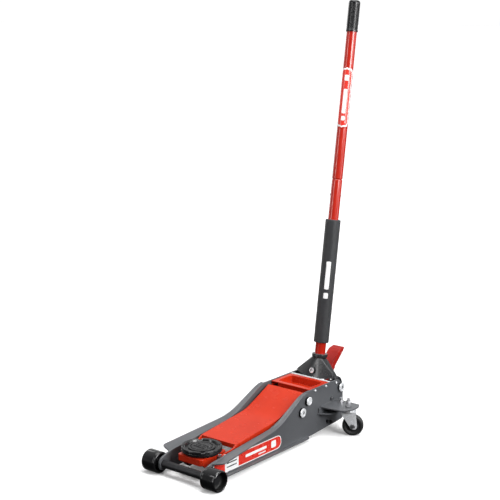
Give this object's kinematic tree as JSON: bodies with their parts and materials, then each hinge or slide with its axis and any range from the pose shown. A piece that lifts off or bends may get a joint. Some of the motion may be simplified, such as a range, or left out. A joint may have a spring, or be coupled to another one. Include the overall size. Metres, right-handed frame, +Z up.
{
  "type": "trolley jack",
  "caption": "Low-profile hydraulic trolley jack with lift arm, levelling saddle, front rollers, rear casters, foot pedal and a long tilting, twisting handle.",
  "frame": {"origin": "middle of the jack's bounding box in plan, on the floor that the front wheels and the casters stand on", "axes": "+Z up; +Y from the saddle end towards the handle end; +X to the right-hand side, seen from behind"},
  "size_m": [0.3734, 0.8262, 1.2787],
  "materials": {
    "red_paint": "glossy powder coat",
    "grey_paint": "satin anthracite powder coat",
    "black_wheel": "gloss black",
    "caster_tread": "satin black nylon",
    "black_rubber": "matte moulded rubber",
    "charcoal_foam": "matte closed-cell foam",
    "zinc": "bright zinc plate",
    "steel": "ground steel, lightly oiled",
    "black_oxide": "black paint"
  },
  "bodies": {
    "chassis": {"side_plate_right": "grey_paint", "side_plate_left": "grey_paint", "tray_screw_1_right": "zinc", "tray_screw_1_left": "zinc", "tray_screw_2_right": "zinc", "tray_screw_2_left": "zinc", "torque_rod_bolt_right": "zinc", "torque_rod_bolt_left": "zinc", "caster_bracket_right": "grey_paint", "caster_bracket_left": "grey_paint", "caster_kingpin_right": "zinc", "caster_kingpin_left": "zinc", "block_bolt_right": "zinc", "block_bolt_left": "zinc", "yoke_bolt_right": "zinc", "yoke_bolt_left": "zinc", "return_spring_right": "steel", "return_spring_left": "steel", "front_axle": "black_oxide", "front_tie_bar": "grey_paint", "tool_tray": "red_paint", "rear_cross_bar": "zinc", "arm_pivot_shaft": "zinc", "hydraulic_block": "grey_paint", "ram_cylinder": "grey_paint", "filler_plug": "black_rubber", "pump_spring": "steel"},
    "lift_arm": {"lift_arm": "red_paint", "saddle_pin": "zinc", "crank_pin": "steel"},
    "saddle_carrier": {"saddle_carrier": "red_paint", "link_pin_right": "zinc", "link_pin_left": "zinc"},
    "saddle": {"saddle_cup": "black_oxide", "saddle_pad": "black_rubber"},
    "torque_rod_right": {"torque_rod_right": "steel"},
    "torque_rod_left": {"torque_rod_left": "steel"},
    "ram": {"ram_rod": "steel", "ram_crosshead": "steel"},
    "front_wheel_right": {"front_wheel_right": "black_wheel"},
    "front_wheel_left": {"front_wheel_left": "black_wheel"},
    "caster_right": {"caster_fork_right": "zinc", "caster_bolt_right": "zinc"},
    "caster_left": {"caster_fork_left": "zinc", "caster_bolt_left": "zinc"},
    "caster_wheel_right": {"caster_wheel_right": "caster_tread"},
    "caster_wheel_left": {"caster_wheel_left": "caster_tread"},
    "handle_yoke": {"handle_yoke": "grey_paint", "shield_bolt": "zinc"},
    "handle": {"handle_socket": "red_paint", "lower_tube": "red_paint", "foam_sleeve": "charcoal_foam", "upper_tube": "red_paint", "handle_grip": "black_rubber"},
    "snap_button_right": {"snap_button_right": "zinc"},
    "snap_button_left": {"snap_button_left": "zinc"},
    "release_valve": {"release_valve": "steel"},
    "pump_plunger": {"pump_plunger": "steel"},
    "foot_pedal": {"foot_pedal": "red_paint"}
  },
  "joints": [
    {"name": "lift_arm_raise", "type": "hinge", "parent": "chassis", "child": "lift_arm", "pos_m": [0, 0.07289, 0.123], "axis": [-1, 0, 0], "range_deg": [0, 72], "deforming": ["return_spring_right", "return_spring_left"]},
    {"name": "saddle_level", "type": "hinge", "parent": "lift_arm", "child": "saddle_carrier", "pos_m": [0, -0.28711, 0.051], "axis": [-1, 0, 0], "range_deg": [-72, 0]},
    {"name": "saddle_swivel", "type": "hinge", "parent": "saddle_carrier", "child": "saddle", "pos_m": [0, -0.30911, 0.062], "axis": [0, 0, 1], "continuous": true},
    {"name": "torque_rod_right_swing", "type": "hinge", "parent": "chassis", "child": "torque_rod_right", "pos_m": [0.049, 0.04389, 0.095], "axis": [-1, 0, 0], "range_deg": [0, 72]},
    {"name": "torque_rod_left_swing", "type": "hinge", "parent": "chassis", "child": "torque_rod_left", "pos_m": [-0.049, 0.04389, 0.095], "axis": [-1, 0, 0], "range_deg": [0, 72]},
    {"name": "ram_stroke", "type": "slide", "parent": "chassis", "child": "ram", "axis": [0, -1, 0], "range_m": [0, 0.0705]},
    {"name": "front_wheel_right_roll", "type": "hinge", "parent": "chassis", "child": "front_wheel_right", "pos_m": [0.107, -0.38311, 0.03], "axis": [1, 0, 0], "continuous": true},
    {"name": "front_wheel_left_roll", "type": "hinge", "parent": "chassis", "child": "front_wheel_left", "pos_m": [-0.107, -0.38311, 0.03], "axis": [1, 0, 0], "continuous": true},
    {"name": "caster_right_swivel", "type": "hinge", "parent": "chassis", "child": "caster_right", "pos_m": [0.144, 0.19089, 0.072], "axis": [0, 0, 1], "continuous": true},
    {"name": "caster_left_swivel", "type": "hinge", "parent": "chassis", "child": "caster_left", "pos_m": [-0.144, 0.19089, 0.072], "axis": [0, 0, 1], "continuous": true},
    {"name": "caster_wheel_right_roll", "type": "hinge", "parent": "caster_right", "child": "caster_wheel_right", "pos_m": [0.15587, 0.19831, 0.032], "axis": [-0.5299, 0.848, 0], "continuous": true},
    {"name": "caster_wheel_left_roll", "type": "hinge", "parent": "caster_left", "child": "caster_wheel_left", "pos_m": [-0.15587, 0.19831, 0.032], "axis": [0.5299, 0.848, 0], "continuous": true},
    {"name": "handle_tilt", "type": "hinge", "parent": "chassis", "child": "handle_yoke", "pos_m": [0, 0.24089, 0.124], "axis": [-1, 0, 0], "range_deg": [0, 72]},
    {"name": "handle_twist", "type": "hinge", "parent": "handle_yoke", "child": "handle", "pos_m": [0, 0.23666, 0.17348], "axis": [0, 0.1435, 0.9897], "range_deg": [0, 120]},
    {"name": "release_valve_turn", "type": "hinge", "parent": "chassis", "child": "release_valve", "pos_m": [0, 0.22949, 0.11], "axis": [0, 0, 1], "range_deg": [0, 120]},
    {"name": "pump_stroke", "type": "slide", "parent": "chassis", "child": "pump_plunger", "axis": [0, -0.8, -0.6], "range_m": [0, 0.0131], "deforming": ["pump_spring"]},
    {"name": "foot_pedal_press", "type": "hinge", "parent": "handle_yoke", "child": "foot_pedal", "pos_m": [0, 0.24089, 0.124], "axis": [-1, 0, 0], "range_deg": [0, 22], "stiffness_Nm_per_rad": 4, "springref_deg": -8.59},
    {"name": "snap_button_right_press", "type": "slide", "parent": "handle", "child": "snap_button_right", "axis": [-0.7771, -0.6228, 0.0903], "range_m": [0, 0.003], "stiffness_N_per_m": 800, "springref_m": -0.001},
    {"name": "snap_button_left_press", "type": "slide", "parent": "handle", "child": "snap_button_left", "axis": [0.7771, 0.6228, -0.0903], "range_m": [0, 0.003], "stiffness_N_per_m": 800, "springref_m": -0.001}
  ],
  "couplings": [
    {"joint": "saddle_level", "follows": "lift_arm_raise", "ratio": -1},
    {"joint": "torque_rod_right_swing", "follows": "lift_arm_raise", "ratio": 1},
    {"joint": "torque_rod_left_swing", "follows": "lift_arm_raise", "ratio": 1},
    {"joint": "ram_stroke", "follows": "lift_arm_raise", "m_per_rad": 0.05602},
    {"joint": "release_valve_turn", "follows": "handle_twist", "ratio": 1},
    {"joint": "pump_stroke", "follows": "handle_tilt", "m_per_rad": 0.010345}
  ]
}
